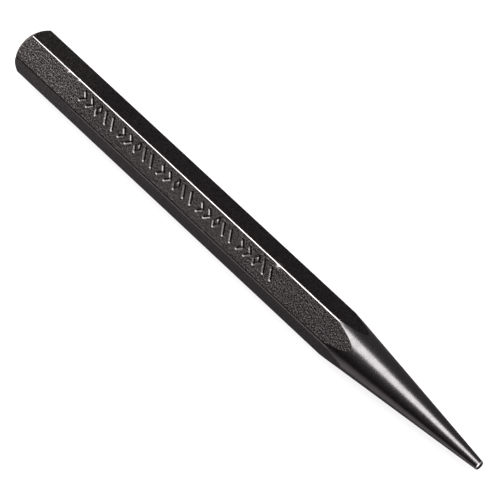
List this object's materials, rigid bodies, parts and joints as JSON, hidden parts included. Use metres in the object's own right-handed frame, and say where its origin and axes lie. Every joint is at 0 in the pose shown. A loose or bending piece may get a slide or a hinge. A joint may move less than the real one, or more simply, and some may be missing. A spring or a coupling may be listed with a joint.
{
  "type": "taper punch",
  "caption": "Solid hexagonal steel punch with a chamfered struck end and a long ground taper to a small flat tip, for starting pins, lining up holes and marking metal.",
  "frame": {"origin": "in the plane of the lower flat, under the middle of the bar: the bottom centre of the bounding box", "axes": "+X from the struck end to the tip along the bar's axis, +Z out of the flat with the stamped marks, +Y to the left of someone looking from the struck end to the tip"},
  "size_m": [0.1524, 0.0128, 0.0111],
  "materials": {
    "black_tool_steel": "black oxide: fine blasted grain on the flats, fine ground satin on the taper, bright wear along the edges"
  },
  "bodies": {
    "root": {"punch": "black_tool_steel"}
  },
  "joints": []
}
